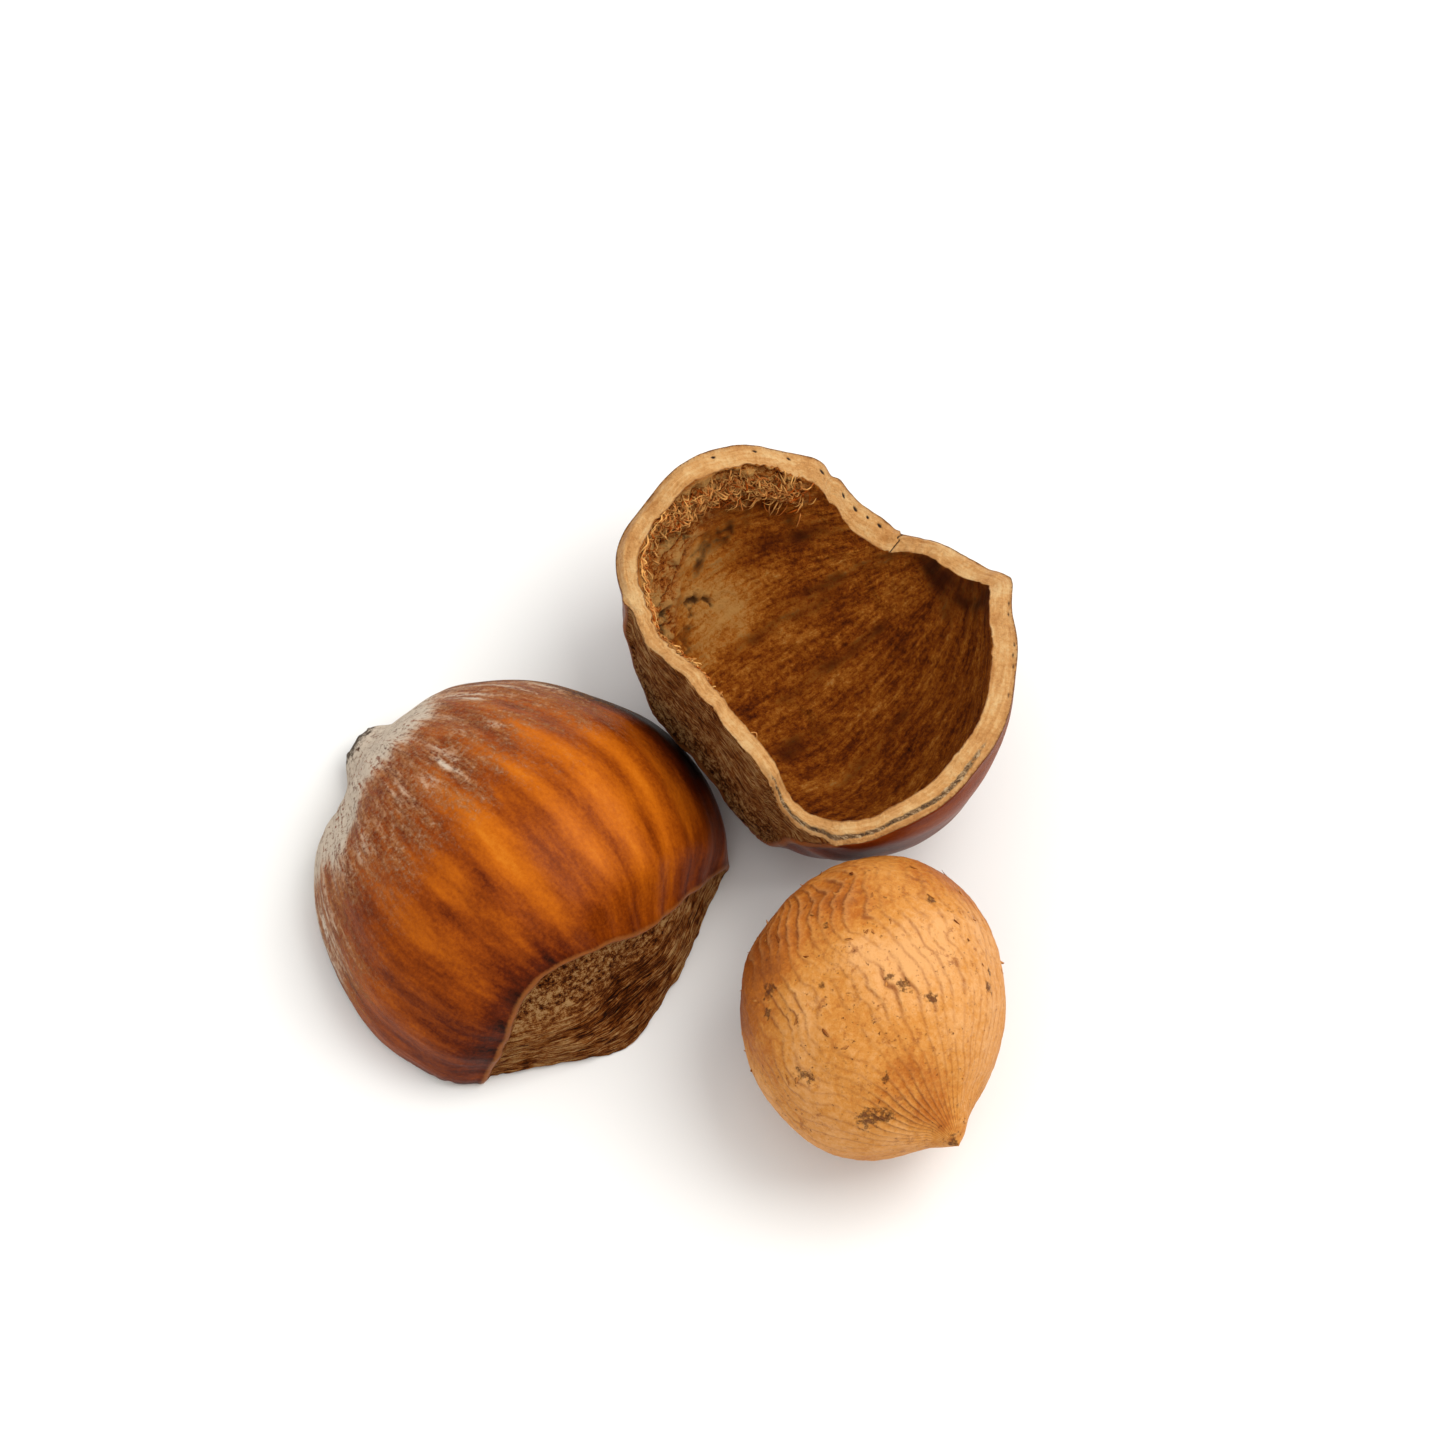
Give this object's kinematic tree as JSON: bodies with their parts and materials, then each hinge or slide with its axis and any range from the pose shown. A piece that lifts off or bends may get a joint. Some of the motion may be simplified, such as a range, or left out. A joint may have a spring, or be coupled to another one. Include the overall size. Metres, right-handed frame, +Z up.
{
  "type": "cracked hazelnut",
  "caption": "Cracked hazelnut on a table: a domed half of the shell with its nib and scar, an open half of the shell, and the skinned kernel beside them.",
  "frame": {"origin": "middle of the group on the table it lies on", "axes": "+Z up from the table; -Y towards the viewer of the picture, +X to the viewer's right"},
  "size_m": [0.0376, 0.0396, 0.0138],
  "materials": {
    "shell_half_domed": "satin glossy brown nutshell",
    "shell_half_open": "matt broken nutshell",
    "kernel": "matt papery skin"
  },
  "bodies": {
    "root": {"shell_half_domed": "shell_half_domed", "shell_half_open": "shell_half_open", "kernel": "kernel"}
  },
  "joints": []
}
